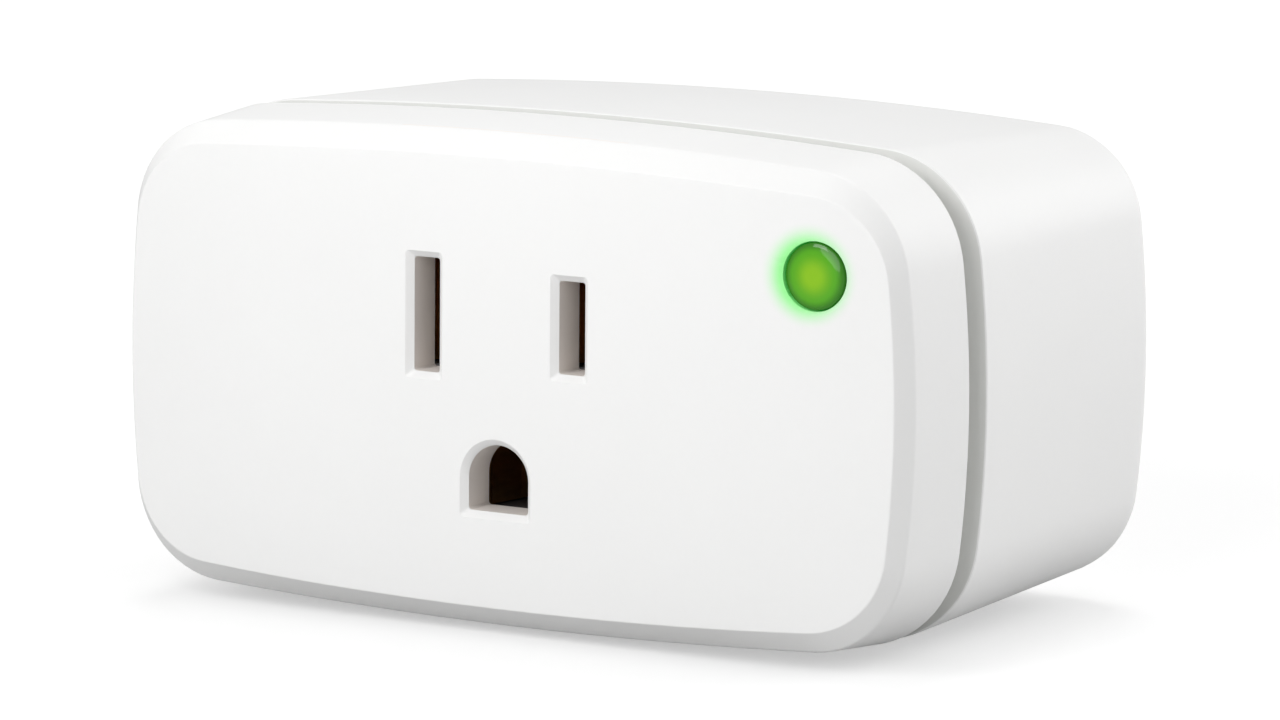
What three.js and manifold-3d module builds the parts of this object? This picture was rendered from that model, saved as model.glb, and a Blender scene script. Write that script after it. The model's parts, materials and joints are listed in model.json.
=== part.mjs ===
// Smart plug: a three-prong wall plug with a switched receptacle on its front.
// Millimetres. Origin on the wall face, midway between the blades on their centre line.
// +X to the viewer's right, +Y from the wall face into the wall, +Z up.
import * as THREE from 'three';
import { mergeVertices } from 'three/addons/utils/BufferGeometryUtils.js';
import Module from 'manifold-3d';

const wasm = await Module();
wasm.setup();

// Case
const DEPTH = 40.5; // wall face to front face
const HALF_W = 34.34; // front outline, half width
const HALF_H = 18.55; // front outline, half height
const DROP = 4.66; // case centre below the blades' centre line
const CROWN_LONG = 402; // radius of the bulge of the long sides
const CROWN_SHORT = 91; // radius of the bulge of the short sides
const CORNER_R = 8; // corner radius of the outline
const WALL = 2.2;
const BACK_WALL = 2.5;
const FACE_WALL = 3.3;
const FACE_ROLL_X = 1.0; // how far the face falls back at its left and right edges
const FACE_ROLL_Z = 0.13; // and at its top and bottom edges
const FACE_FLAT_X = 14; // half width of the flat middle of the face
const FACE_FLAT_Z = 10.8; // half height of the flat middle
const BEVEL_X = 0.97; // bevel round the face, seen from the front
const BEVEL_Z = 1.68;
const BEVEL_Y = 2.35; // depth at which the bevel ends
const RIM_OUT = 0.58; // flare of the case from the bevel to the groove
const GROOVE_START = 9.4; // from the front face
const GROOVE_END = 11.9;
const BACK_TAPER_X = 0.6; // the housing is smaller than the front outline at the back
const BACK_TAPER_Z = 0.39;
const BACK_ROUND_Y = 2.3;
const BACK_ROUND_IN = 1.8;
const SPIGOT_IN = 2.35; // cover's tongue inside the rim's outline
const SPIGOT_WALL = 1.2;
const SPIGOT_REACH = 2; // past the housing's front edge

// Rating label, left blank
const LABEL_X = 19;
const LABEL_Z = -3.2;
const LABEL_W = 15;
const LABEL_H = 12;
const LABEL_SINK = 0.35;
const LABEL_T = 0.2;

// Plug and receptacle: standard 15 A grounded pattern
const BLADE_X = 6.35; // half the blade pitch
const GROUND_Z = -11.89; // ground pin below the blades' centre line
const BLADE_T = 1.52;
const LINE_BLADE_H = 6.35;
const NEUTRAL_BLADE_H = 7.9;
const BLADE_OUT = 17.9; // blade length outside the wall face
const BLADE_HOLE_R = 1.6;
const BLADE_HOLE_Y = 11.9;
const PIN_R = 2.4;
const PIN_OUT = 21;
const SLOT_W = 2.25;
const LINE_SLOT_H = 6.95;
const NEUTRAL_SLOT_H = 8.6;
const GROUND_SLOT_R = 2.6;
const GROUND_SLOT_FLAT = 2.45; // flat side below the ground slot's centre
const SLOT_LEAD = 0.5; // chamfer round each slot
const TAB_H = 2.4;
const TAB_REACH = 0.9; // blade tabs past the board
const HOLE_GAP = 0.15; // round a piece that passes through another

// Contacts
const LEAF_T = 0.7;
const PINCH = 0.85; // half gap where a contact grips
const LEAF_ROOT = 1.5; // half gap at the contact's back
const LEAF_MOUTH = 1.6;
const CONTACT_MARGIN = 0.6; // contact lower than its slot
const CARRIER_WALL = 1.3;
const STRAP_T = 0.7;
const STRAP_W = 4;

// Button
const BUTTON_X = 26.95;
const BUTTON_Z = 5.54;
const BUTTON_R = 2.45;
const BUTTON_GAP = 0.12;
const BUTTON_FLANGE_R = 3.3;
const BUTTON_FLANGE_T = 1;
const BUTTON_STEM_R = 1.2;
const BUTTON_STEM = 1.7;
const BUTTON_DOME = 0.3;
const BUTTON_TRAVEL = 0.3;
const SWITCH_SIZE = 5.2;
const SWITCH_H = 3.1;
const PLUNGER_R = 1.6;
const PLUNGER_OUT = 0.6;

// Fasteners
const SCREW_SHANK_R = 1.1;
const SCREW_HEAD_R = 2.2;
const SCREW_HEAD_T = 1.6;
const SCREW_SINK = 7; // head's seat from the wall face
const SCREW_X = 26.9;
const SCREW_RISE = 10.9; // from the case centre
const POST_R = 2.8;
const BOSS_R = 3.2;
const POST_END = -12;
const SCREW_BITE = 6; // length inside the post

// Boards
const BOARD_T = 1.6;
const BOARD_BACK = -7.4;
const BOARD_IN = 0.7; // gap between board and housing wall
const SMALL_BOARD_T = 1.2;

// Relay
const RELAY_X = -21.9;
const RELAY_L = 17;
const RELAY_W = 13.4;
const RELAY_H = 15.6;
const RELAY_BASE_T = 1.4;
const RELAY_SKIN = 0.8;
const YOKE_T = 1.2;
const YOKE_W = 8;
const YOKE_LIFT = 0.3;
const COIL_H = 8.8;
const COIL_R = 4.5;
const CORE_R = 2;
const POLE_R = 2.4;
const POLE_T = 0.5;
const HINGE_REACH = 6.5; // hinge line from the coil's axis
const ARM_T = 0.4;
const CONTACT_R = 1.3;
const CONTACT_REACH = 5.5; // contacts from the coil's axis
const AIR_GAP = 0.65; // open armature above the pole
const CONTACT_GAP = 0.9;

// Derived places
const MID_Z = -DROP;
const FRONT = -DEPTH;
const FACE_BACK = FRONT + FACE_WALL;
const RIM_Y = FRONT + GROOVE_START;
const HOUSING_Y = FRONT + GROOVE_END;
const BOARD_FRONT = BOARD_BACK - BOARD_T;
const TAB_END = BOARD_FRONT - TAB_REACH;
const SHOULDER_Y = BOARD_BACK + 0.4; // where the blades narrow to their tabs
const CONTACT_BACK = FRONT + BLADE_OUT + 0.8;
const CONTACT_FRONT = FACE_BACK + 0.9;
const CARRIER_BACK = CONTACT_BACK - 0.2;
const STEP = 18; // outline points per quarter
const ROUND = 28; // sides of a turned piece

// ---- geometry helpers ----

// Points of a rounded outline whose four sides bulge, one quarter at a time.
function outline(halfW, halfH, corner, longR = CROWN_LONG, shortR = CROWN_SHORT) {
  const cLong = new THREE.Vector2(0, halfH - longR);
  const cShort = new THREE.Vector2(halfW - shortR, 0);
  const between = cLong.clone().sub(cShort);
  const span = between.length();
  const d1 = longR - corner;
  const d2 = shortR - corner;
  const along = (d2 * d2 - d1 * d1 + span * span) / (2 * span);
  const off = Math.sqrt(d2 * d2 - along * along);
  const dir = between.clone().normalize();
  const normal = new THREE.Vector2(dir.y, -dir.x);
  const foot = cShort.clone().addScaledVector(dir, along);
  const plus = foot.clone().addScaledVector(normal, off);
  const minus = foot.clone().addScaledVector(normal, -off);
  const centre = plus.x + plus.y > minus.x + minus.y ? plus : minus;
  const angle1 = Math.atan2(centre.y - cLong.y, centre.x - cLong.x);
  const angle2 = Math.atan2(centre.y - cShort.y, centre.x - cShort.x);
  const arcs = [
    [cShort, shortR, 0, angle2, 4],
    [centre, corner, angle2, angle1, STEP - 8],
    [cLong, longR, angle1, Math.PI / 2, 4],
  ];
  const quarter = [];
  for (const [c, radius, from, to, count] of arcs) {
    for (let i = 0; i < count; i++) {
      const t = from + ((to - from) * i) / count;
      quarter.push([c.x + radius * Math.cos(t), c.y + radius * Math.sin(t)]);
    }
  }
  const half = [...quarter, [0, halfH]];
  const top = [...half, ...half.slice(1, -1).reverse().map(([x, z]) => [-x, z])];
  const left = [[-half[0][0], 0]];
  const bottom = top.slice(1).map(([x, z]) => [-x, -z]);
  return [...top, ...left, ...bottom];
}

// The case's outline, moved in by inX and inZ, at depth y.
function caseRing(y, inX, inZ, scale = 1) {
  const corner = CORNER_R - (inX + inZ) / 2;
  const flat = outline(HALF_W - inX, HALF_H - inZ, Math.max(corner, 2));
  return flat.map(([x, z]) => new THREE.Vector3(x * scale, y, MID_Z + z * scale));
}

// How far the front face lies behind its flat middle.
function faceRoll(x, z) {
  const outX = Math.max(0, (Math.abs(x) - FACE_FLAT_X) / (HALF_W - FACE_FLAT_X));
  const outZ = Math.max(0, (Math.abs(z - MID_Z) - FACE_FLAT_Z) / (HALF_H - FACE_FLAT_Z));
  return FACE_ROLL_X * outX ** 2 + FACE_ROLL_Z * outZ ** 2;
}

// Closed solid through rings of equal count, with a fan over the first and the last.
function loft(rings) {
  const count = rings[0].length;
  const points = rings.flat();
  const index = [];
  for (let r = 0; r + 1 < rings.length; r++) {
    for (let i = 0; i < count; i++) {
      const j = (i + 1) % count;
      const a = r * count;
      const b = a + count;
      index.push(a + i, b + i, a + j, a + j, b + i, b + j);
    }
  }
  for (const [start, flip] of [[0, false], [(rings.length - 1) * count, true]]) {
    const ring = points.slice(start, start + count);
    const centre = ring.reduce((sum, p) => sum.add(p), new THREE.Vector3()).divideScalar(count);
    const c = points.length;
    points.push(centre);
    for (let i = 0; i < count; i++) {
      const j = (i + 1) % count;
      index.push(...(flip ? [c, start + j, start + i] : [c, start + i, start + j]));
    }
  }
  const geometry = new THREE.BufferGeometry();
  const numbers = points.flatMap((p) => p.toArray());
  geometry.setAttribute('position', new THREE.Float32BufferAttribute(numbers, 3));
  geometry.setIndex(index);
  return geometry;
}

function box(x0, x1, y0, y1, z0, z1) {
  const geometry = new THREE.BoxGeometry(x1 - x0, y1 - y0, z1 - z0);
  return geometry.translate((x0 + x1) / 2, (y0 + y1) / 2, (z0 + z1) / 2);
}

// Box centred at x, z that stands on y and rises towards the front by height.
function block(x, z, sizeX, sizeZ, y, height) {
  return box(x - sizeX / 2, x + sizeX / 2, y - height, y, z - sizeZ / 2, z + sizeZ / 2);
}

function rodY(x, z, radius, y0, y1, sides = ROUND) {
  const geometry = new THREE.CylinderGeometry(radius, radius, Math.abs(y1 - y0), sides);
  return geometry.translate(x, (y0 + y1) / 2, z);
}

// Turned piece about a line along Y: profile of [radius, y] from axis to axis or closed.
function turned(x, z, profile, sides = ROUND) {
  const geometry = new THREE.LatheGeometry(profile.map(([r, y]) => new THREE.Vector2(r, y)), sides);
  return geometry.translate(x, 0, z);
}

// Flat shape in x, y given a height along z, centred on z.
function prismZ(points, z, height) {
  const shape = new THREE.Shape(points.map(([x, y]) => new THREE.Vector2(x, y)));
  const geometry = new THREE.ExtrudeGeometry(shape, { depth: height, bevelEnabled: false });
  return geometry.translate(0, 0, z - height / 2);
}

function toSolid(geometry) {
  const bare = geometry.clone();
  bare.deleteAttribute('normal');
  bare.deleteAttribute('uv');
  const merged = mergeVertices(bare, 1e-5);
  const mesh = new wasm.Mesh({
    numProp: 3,
    vertProperties: new Float32Array(merged.attributes.position.array),
    triVerts: new Uint32Array(merged.index.array),
  });
  return new wasm.Manifold(mesh);
}

function fromSolid(solid) {
  const mesh = solid.getMesh();
  const geometry = new THREE.BufferGeometry();
  geometry.setAttribute('position', new THREE.BufferAttribute(new Float32Array(mesh.vertProperties), 3));
  geometry.setIndex(new THREE.BufferAttribute(new Uint32Array(mesh.triVerts), 1));
  return geometry;
}

// First geometry, joined with the added ones and cut by the cut ones.
function build(base, added = [], cut = []) {
  let solid = toSolid(base);
  for (const piece of added) solid = solid.add(toSolid(piece));
  for (const piece of cut) solid = solid.subtract(toSolid(piece));
  return fromSolid(solid);
}

const group = new THREE.Group();
group.name = 'smart_plug';

const LOOKS = {
  case: { color: 0xf4f4f2, roughness: 0.35, metalness: 0 },
  label: { color: 0xc9cbcc, roughness: 0.5, metalness: 0 },
  button: { color: 0x7fd23a, roughness: 0.25, metalness: 0 },
  black: { color: 0x1c1c1e, roughness: 0.5, metalness: 0 },
  board: { color: 0x1f6b3f, roughness: 0.45, metalness: 0 },
  brass: { color: 0xb58a3c, roughness: 0.35, metalness: 1 },
  nickel: { color: 0xc4c6c8, roughness: 0.25, metalness: 1 },
  steel: { color: 0x9ea2a6, roughness: 0.35, metalness: 1 },
  copper: { color: 0xb4622c, roughness: 0.4, metalness: 1 },
  relay: { color: 0x2f5fa8, roughness: 0.4, metalness: 0 },
  white: { color: 0xe9e7df, roughness: 0.5, metalness: 0 },
  yellow: { color: 0xd9b43a, roughness: 0.4, metalness: 0 },
  blue: { color: 0x2b6fb0, roughness: 0.5, metalness: 0 },
  sleeve: { color: 0x26282c, roughness: 0.35, metalness: 0 },
};

function add(name, look, geometry) {
  const flat = geometry.index ? geometry.toNonIndexed() : geometry;
  flat.computeVertexNormals();
  const mesh = new THREE.Mesh(flat, new THREE.MeshStandardMaterial(LOOKS[look]));
  mesh.name = name;
  group.add(mesh);
}

// ---- shared places ----

// Three screws stand in the corners; the fourth keeps clear of the button.
const screwPlaces = [
  [-SCREW_X, MID_Z - SCREW_RISE],
  [SCREW_X, MID_Z - SCREW_RISE],
  [-SCREW_X, MID_Z + SCREW_RISE],
  [BUTTON_X - 11.35, MID_Z + SCREW_RISE + 1.4],
];

const faceAtButton = FRONT + faceRoll(BUTTON_X, BUTTON_Z);
const switchFront = FACE_BACK + 0.3 + BUTTON_FLANGE_T + BUTTON_STEM + PLUNGER_OUT;
const smallBoardFront = switchFront + SWITCH_H;
const smallBoardBack = smallBoardFront + SMALL_BOARD_T;

// ---- case ----

function slotCut(x, z, halfW, halfH) {
  const ring = (y, grow) => [
    new THREE.Vector3(x + halfW + grow, y, z - halfH - grow),
    new THREE.Vector3(x + halfW + grow, y, z + halfH + grow),
    new THREE.Vector3(x - halfW - grow, y, z + halfH + grow),
    new THREE.Vector3(x - halfW - grow, y, z - halfH - grow),
  ];
  return loft([ring(FRONT - 1, SLOT_LEAD + 1), ring(FRONT + SLOT_LEAD, 0), ring(FACE_BACK + 1, 0)]);
}

// Ground slot: round on top, flat below.
function groundCut() {
  const ring = (y, grow) => {
    const radius = GROUND_SLOT_R + grow;
    const flat = -GROUND_SLOT_FLAT - grow;
    const points = [new THREE.Vector3(radius, y, GROUND_Z + flat)];
    for (let i = 0; i <= 16; i++) {
      const t = (Math.PI * i) / 16;
      points.push(new THREE.Vector3(radius * Math.cos(t), y, GROUND_Z + radius * Math.sin(t)));
    }
    points.push(new THREE.Vector3(-radius, y, GROUND_Z + flat));
    return points;
  };
  return loft([ring(FRONT - 1, SLOT_LEAD + 1), ring(FRONT + SLOT_LEAD, 0), ring(FACE_BACK + 1, 0)]);
}

function frontCover() {
  const rings = [];
  for (const scale of [0.41, 0.62, 0.8, 0.92, 1]) {
    const ring = caseRing(0, BEVEL_X, BEVEL_Z, scale);
    for (const p of ring) p.y = FRONT + faceRoll(p.x, p.z);
    rings.push(ring);
  }
  const spigotEnd = HOUSING_Y + SPIGOT_REACH;
  const inner = SPIGOT_IN - RIM_OUT + SPIGOT_WALL;
  rings.push(
    caseRing(FRONT + BEVEL_Y, 0, 0),
    caseRing(RIM_Y, -RIM_OUT, -RIM_OUT),
    caseRing(RIM_Y, SPIGOT_IN - RIM_OUT, SPIGOT_IN - RIM_OUT),
    caseRing(spigotEnd, SPIGOT_IN - RIM_OUT, SPIGOT_IN - RIM_OUT),
    caseRing(spigotEnd, inner, inner),
    caseRing(FACE_BACK, inner, inner),
  );
  const posts = screwPlaces.map(([x, z]) => rodY(x, z, POST_R, FACE_BACK - 0.5, POST_END));
  const bores = screwPlaces.map(([x, z]) => (
    rodY(x, z, SCREW_SHANK_R + 0.05, POST_END - SCREW_BITE - 1, POST_END + 1)
  ));
  const cuts = [
    slotCut(-BLADE_X, 0, SLOT_W / 2, NEUTRAL_SLOT_H / 2),
    slotCut(BLADE_X, 0, SLOT_W / 2, LINE_SLOT_H / 2),
    groundCut(),
    rodY(BUTTON_X, BUTTON_Z, BUTTON_R + BUTTON_GAP, FRONT - 1, FACE_BACK + 1, 40),
    ...bores,
  ];
  return build(loft(rings), posts, cuts);
}

function rearHousing() {
  const rings = [caseRing(0, BACK_TAPER_X + BACK_ROUND_IN, BACK_TAPER_Z + BACK_ROUND_IN)];
  for (const angle of [30, 60, 90]) {
    const t = THREE.MathUtils.degToRad(angle);
    const inward = BACK_ROUND_IN * (1 - Math.sin(t));
    const y = -BACK_ROUND_Y * (1 - Math.cos(t));
    rings.push(caseRing(y, BACK_TAPER_X + inward, BACK_TAPER_Z + inward));
  }
  rings.push(
    caseRing(HOUSING_Y, -RIM_OUT, -RIM_OUT),
    caseRing(HOUSING_Y, WALL - RIM_OUT, WALL - RIM_OUT),
    caseRing(-BACK_WALL - 2, WALL + BACK_TAPER_X, WALL + BACK_TAPER_Z),
    caseRing(-BACK_WALL, WALL + BACK_TAPER_X + 1, WALL + BACK_TAPER_Z + 1),
  );
  rings.forEach((ring) => ring.reverse());
  const bosses = screwPlaces.map(([x, z]) => rodY(x, z, BOSS_R, -BACK_WALL + 0.5, POST_END + 0.1));
  const cuts = [
    rodY(0, GROUND_Z, PIN_R + HOLE_GAP, -BACK_WALL - 1, 1),
    block(-BLADE_X, 0, BLADE_T + 2 * HOLE_GAP, NEUTRAL_BLADE_H + 2 * HOLE_GAP, 1, BACK_WALL + 2),
    block(BLADE_X, 0, BLADE_T + 2 * HOLE_GAP, LINE_BLADE_H + 2 * HOLE_GAP, 1, BACK_WALL + 2),
    block(LABEL_X, LABEL_Z, LABEL_W + 0.4, LABEL_H + 0.4, 1, LABEL_SINK + 1),
  ];
  for (const [x, z] of screwPlaces) {
    cuts.push(rodY(x, z, SCREW_HEAD_R + 0.2, -SCREW_SINK, 1));
    cuts.push(rodY(x, z, SCREW_SHANK_R + 0.3, POST_END - 1, -SCREW_SINK + 1));
  }
  return build(loft(rings), bosses, cuts);
}

add('front_cover', 'case', frontCover());
add('rear_housing', 'case', rearHousing());
add('rating_label', 'label', block(LABEL_X, LABEL_Z, LABEL_W, LABEL_H, -LABEL_SINK + LABEL_T, LABEL_T));

screwPlaces.forEach(([x, z], i) => {
  const head = -SCREW_SINK + SCREW_HEAD_T;
  const tip = POST_END - SCREW_BITE;
  const screw = turned(x, z, [
    [0, tip],
    [SCREW_SHANK_R * 0.5, tip],
    [SCREW_SHANK_R, tip + 1.2],
    [SCREW_SHANK_R, -SCREW_SINK],
    [SCREW_HEAD_R, -SCREW_SINK],
    [SCREW_HEAD_R, head - 0.5],
    [SCREW_HEAD_R * 0.7, head],
    [0, head],
  ], 20);
  const arms = [block(x, z, 2.2, 0.5, head + 1, 1.8), block(x, z, 0.5, 2.2, head + 1, 1.8)];
  add(`case_screw_${i + 1}`, 'steel', build(screw, [], arms));
});

// ---- plug blades and pin ----

function blade(x, height) {
  const h = height / 2;
  const end = 1.2;
  const bar = prismYZ(x, [
    [TAB_END, -TAB_H / 2],
    [SHOULDER_Y, -TAB_H / 2],
    [SHOULDER_Y, -h],
    [BLADE_OUT - end, -h],
    [BLADE_OUT, -h + end],
    [BLADE_OUT, h - end],
    [BLADE_OUT - end, h],
    [SHOULDER_Y, h],
    [SHOULDER_Y, TAB_H / 2],
    [TAB_END, TAB_H / 2],
  ], BLADE_T);
  const hole = new THREE.CylinderGeometry(BLADE_HOLE_R, BLADE_HOLE_R, BLADE_T + 2, ROUND);
  hole.rotateZ(Math.PI / 2).translate(x, BLADE_HOLE_Y, 0);
  return build(bar, [], [hole]);
}

// Flat shape in y, z given a thickness along x, centred on x.
function prismYZ(x, points, thickness) {
  const shape = new THREE.Shape(points.map(([y, z]) => new THREE.Vector2(y, z)));
  const geometry = new THREE.ExtrudeGeometry(shape, { depth: thickness, bevelEnabled: false });
  const turn = new THREE.Matrix4().set(0, 0, 1, 0, 1, 0, 0, 0, 0, 1, 0, 0, 0, 0, 0, 1);
  return geometry.applyMatrix4(turn).translate(x - thickness / 2, 0, 0);
}

add('neutral_blade', 'nickel', blade(-BLADE_X, NEUTRAL_BLADE_H));
add('line_blade', 'nickel', blade(BLADE_X, LINE_BLADE_H));

const pinProfile = [
  [0, TAB_END],
  [TAB_H / 2, TAB_END],
  [TAB_H / 2, SHOULDER_Y],
  [PIN_R, SHOULDER_Y],
];
for (let i = 0; i <= 6; i++) {
  const t = (Math.PI / 2) * (i / 6);
  pinProfile.push([PIN_R * Math.cos(t), PIN_OUT - PIN_R + PIN_R * Math.sin(t)]);
}
pinProfile[pinProfile.length - 1][0] = 0;
add('ground_pin', 'nickel', turned(0, GROUND_Z, pinProfile));

const blockCuts = [
  block(-BLADE_X, 0, BLADE_T + 0.1, NEUTRAL_BLADE_H + 0.1, 0, DEPTH),
  block(BLADE_X, 0, BLADE_T + 0.1, LINE_BLADE_H + 0.1, 0, DEPTH),
  rodY(0, GROUND_Z, PIN_R + 0.05, 0, -DEPTH),
];
add('blade_block', 'black', build(
  box(-BLADE_X - 4, BLADE_X + 4, SHOULDER_Y, -BACK_WALL, GROUND_Z - 4, NEUTRAL_BLADE_H / 2 + 1.5),
  [],
  blockCuts,
));

// ---- receptacle ----

// Two leaves joined at the back, pinching near the mouth.
function contact(x, z, pinch, root, mouth, height) {
  const y1 = CONTACT_BACK - LEAF_T;
  const yp = CONTACT_FRONT + 3.4;
  const yf = CONTACT_FRONT;
  const half = [
    [root + LEAF_T, CONTACT_BACK],
    [root + LEAF_T, y1],
    [pinch + LEAF_T, yp],
    [mouth + LEAF_T, yf],
    [mouth, yf],
    [pinch, yp],
    [root, y1],
  ];
  const right = half.map(([dx, y]) => [x + dx, y]);
  const left = half.map(([dx, y]) => [x - dx, y]).reverse();
  return prismZ([...right, ...left], z, height);
}

const neutralHeight = NEUTRAL_SLOT_H - CONTACT_MARGIN;
const lineHeight = LINE_SLOT_H - CONTACT_MARGIN;
const groundHeight = 2 * GROUND_SLOT_R;
const groundRoot = PIN_R + 0.2;
const groundMouth = PIN_R + 0.5;
add('neutral_contact', 'brass', contact(-BLADE_X, 0, PINCH, LEAF_ROOT, LEAF_MOUTH, neutralHeight));
add('line_contact', 'brass', contact(BLADE_X, 0, PINCH, LEAF_ROOT, LEAF_MOUTH, lineHeight));
add('ground_contact', 'brass', contact(0, GROUND_Z, PIN_R + 0.05, groundRoot, groundMouth, groundHeight));

const pocketX = LEAF_MOUTH + LEAF_T + HOLE_GAP;
const groundPocketX = groundMouth + LEAF_T + HOLE_GAP;
const carrierX = BLADE_X + pocketX + CARRIER_WALL;
const carrierTop = neutralHeight / 2 + HOLE_GAP + CARRIER_WALL;
const carrierBottom = GROUND_Z - groundHeight / 2 - HOLE_GAP - CARRIER_WALL;
function pocket(x, z, halfX, height) {
  return block(x, z, 2 * halfX, height + 2 * HOLE_GAP, 0, DEPTH);
}
add('contact_carrier', 'black', build(
  box(-carrierX, carrierX, FACE_BACK, CARRIER_BACK, carrierBottom, carrierTop),
  [],
  [
    pocket(-BLADE_X, 0, pocketX, neutralHeight),
    pocket(BLADE_X, 0, pocketX, lineHeight),
    pocket(0, GROUND_Z, groundPocketX, groundHeight),
  ],
));

add('neutral_strap', 'brass', block(-BLADE_X, 0, STRAP_T, STRAP_W, TAB_END, TAB_END - CONTACT_BACK));
add('ground_strap', 'brass', block(0, GROUND_Z, STRAP_T, STRAP_W, TAB_END, TAB_END - CONTACT_BACK));
// The switched line steps aside from the line blade before it meets the board.
const lineFootX = BLADE_X + 3.9;
add('line_strap', 'brass', build(
  box(BLADE_X - 1, lineFootX, CONTACT_BACK, CONTACT_BACK + STRAP_T, -STRAP_W / 2, STRAP_W / 2),
  [box(lineFootX - STRAP_T, lineFootX, CONTACT_BACK, BOARD_FRONT, -STRAP_W / 2, STRAP_W / 2)],
));

// ---- button and its board ----

const flangeFront = FACE_BACK + 0.3;
const flangeBack = flangeFront + BUTTON_FLANGE_T;
add('button_cap', 'button', turned(BUTTON_X, BUTTON_Z, [
  [0, flangeBack + BUTTON_STEM],
  [BUTTON_STEM_R, flangeBack + BUTTON_STEM],
  [BUTTON_STEM_R, flangeBack],
  [BUTTON_FLANGE_R, flangeBack],
  [BUTTON_FLANGE_R, flangeFront],
  [BUTTON_R, flangeFront],
  [BUTTON_R, faceAtButton + 0.05],
  [BUTTON_R * 0.85, faceAtButton - BUTTON_DOME * 0.3],
  [BUTTON_R * 0.5, faceAtButton - BUTTON_DOME * 0.75],
  [0, faceAtButton - BUTTON_DOME],
].reverse(), 40));

const boardLeft = BUTTON_X - 7.9;
const boardRight = BUTTON_X + 2.6;
const boardTop = BUTTON_Z + 2.6;
const boardBottom = BUTTON_Z - 12;
const headerZ = boardBottom + 2.6;
const headerPins = [BUTTON_X - 5.2, BUTTON_X - 2.66, BUTTON_X - 0.12];
add('control_board', 'board', build(
  box(boardLeft, boardRight, smallBoardFront, smallBoardBack, boardBottom, boardTop),
  [],
  headerPins.map((x) => rodY(x, headerZ, 0.65, smallBoardFront - 1, smallBoardBack + 1, 12)),
));
add('tact_switch_body', 'black', build(
  block(BUTTON_X, BUTTON_Z, SWITCH_SIZE, SWITCH_SIZE, smallBoardFront, SWITCH_H),
  [],
  [rodY(BUTTON_X, BUTTON_Z, PLUNGER_R + 0.1, switchFront - 1, switchFront + 1.4)],
));
const plungerBack = switchFront + 1.4 - BUTTON_TRAVEL - 0.15;
const plungerFront = switchFront - PLUNGER_OUT;
add('tact_switch_plunger', 'white', rodY(BUTTON_X, BUTTON_Z, PLUNGER_R, plungerFront, plungerBack));
add('status_led', 'yellow', block(BUTTON_X - 4.8, BUTTON_Z, 1.6, 3.2, smallBoardFront, 1.1));

const shieldX = (boardLeft + boardRight) / 2;
const shieldZ = BUTTON_Z - 2.2;
const shieldT = 0.3;
add('radio_shield', 'steel', build(
  block(shieldX, shieldZ, 9, 8.4, smallBoardBack + 2.4, 2.4),
  [],
  [block(shieldX, shieldZ, 9 - 2 * shieldT, 8.4 - 2 * shieldT, smallBoardBack + 2.4 - shieldT, 3)],
));
add('radio_chip', 'black', block(shieldX, shieldZ, 5, 5, smallBoardBack + 0.9, 0.9));

add('board_header', 'black', build(
  block(headerPins[1], headerZ, headerPins[2] - headerPins[0] + 2.54, 2.4, BOARD_FRONT, 2.5),
  headerPins.map((x) => block(x, headerZ, 0.64, 0.64, BOARD_FRONT - 1, BOARD_FRONT - smallBoardFront - 0.2)),
));

// ---- main board ----

function mainBoard() {
  const inset = WALL + BOARD_IN;
  const ring = (y) => caseRing(y, inset + BACK_TAPER_X, inset + BACK_TAPER_Z);
  const cuts = screwPlaces.map(([x, z]) => rodY(x, z, BOSS_R + 0.4, 0, -DEPTH));
  cuts.push(block(-BLADE_X, 0, BLADE_T + 0.5, TAB_H, 0, DEPTH));
  cuts.push(block(BLADE_X, 0, BLADE_T + 0.5, TAB_H, 0, DEPTH));
  cuts.push(rodY(0, GROUND_Z, TAB_H / 2 + 0.25, 0, -DEPTH));
  return build(loft([ring(BOARD_FRONT), ring(BOARD_BACK)]), [], cuts);
}
add('main_board', 'board', mainBoard());

// ---- relay ----

const relayRoomX = RELAY_L - 2 * RELAY_SKIN;
const relayRoomZ = RELAY_W - 2 * RELAY_SKIN;
const baseFront = BOARD_FRONT - RELAY_BASE_T;
const yokeY = baseFront - YOKE_LIFT;
const coilY = yokeY - YOKE_T;
const poleY = coilY - COIL_H - 0.2 - POLE_T;
const armatureY = poleY - AIR_GAP;
const hingeX = RELAY_X + HINGE_REACH;
const contactX = RELAY_X - CONTACT_REACH;

add('relay_base', 'black', block(RELAY_X, MID_Z, RELAY_L, RELAY_W, BOARD_FRONT, RELAY_BASE_T));
add('relay_cover', 'relay', build(
  block(RELAY_X, MID_Z, RELAY_L, RELAY_W, baseFront, RELAY_H),
  [],
  [block(RELAY_X, MID_Z, relayRoomX, relayRoomZ, baseFront + 1, RELAY_H + 1 - RELAY_SKIN)],
));
add('relay_yoke', 'steel', prismZ([
  [RELAY_X - 4, yokeY],
  [RELAY_X - 4, coilY],
  [hingeX - 0.8, coilY],
  [hingeX - 0.8, armatureY + 0.15],
  [hingeX + 0.4, armatureY + 0.15],
  [hingeX + 0.4, yokeY],
], MID_Z, YOKE_W));
add('relay_core', 'steel', turned(RELAY_X, MID_Z, [
  [0, poleY],
  [POLE_R, poleY],
  [POLE_R, poleY + POLE_T],
  [CORE_R, poleY + POLE_T],
  [CORE_R, coilY],
  [0, coilY],
]));
const tube = CORE_R + 0.3;
const cheek = COIL_R + 0.3;
add('relay_bobbin', 'white', turned(RELAY_X, MID_Z, [
  [tube, coilY],
  [tube, coilY - COIL_H],
  [cheek, coilY - COIL_H],
  [cheek, coilY - COIL_H + 0.8],
  [tube + 0.6, coilY - COIL_H + 0.8],
  [tube + 0.6, coilY - 0.9],
  [cheek, coilY - 0.9],
  [cheek, coilY],
  [tube, coilY],
]));
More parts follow.
